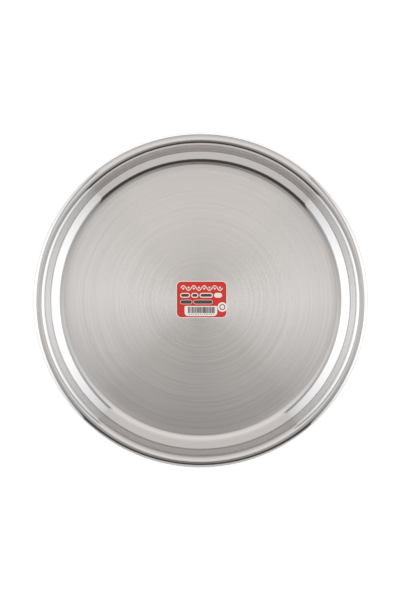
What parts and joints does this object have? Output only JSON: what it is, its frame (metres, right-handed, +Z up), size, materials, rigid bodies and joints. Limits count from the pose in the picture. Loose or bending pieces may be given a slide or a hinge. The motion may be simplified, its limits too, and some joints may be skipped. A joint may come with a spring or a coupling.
{
  "type": "thali plate",
  "caption": "Round flat steel plate with a low two-slope wall, a hemmed rim, a circular brushed floor and a printed label stuck to the middle of the floor.",
  "frame": {"origin": "middle of the flat resting face, at the bottom of the plate", "axes": "+Z up, out of the dish; +Y towards the top of the label; +X to the label's right"},
  "size_m": [0.3, 0.3, 0.0182],
  "materials": {
    "stainless_steel": "floor brushed in circles round the middle, wall and hemmed rim polished",
    "label_paper": "coated label paper printed red, with a white border",
    "patch_paper": "coated white label paper printed with dark bars",
    "dot_paper": "coated white label paper"
  },
  "bodies": {
    "root": {"plate": "stainless_steel", "label": "label_paper", "bar_patch": "patch_paper", "size_dot": "dot_paper"}
  },
  "joints": []
}
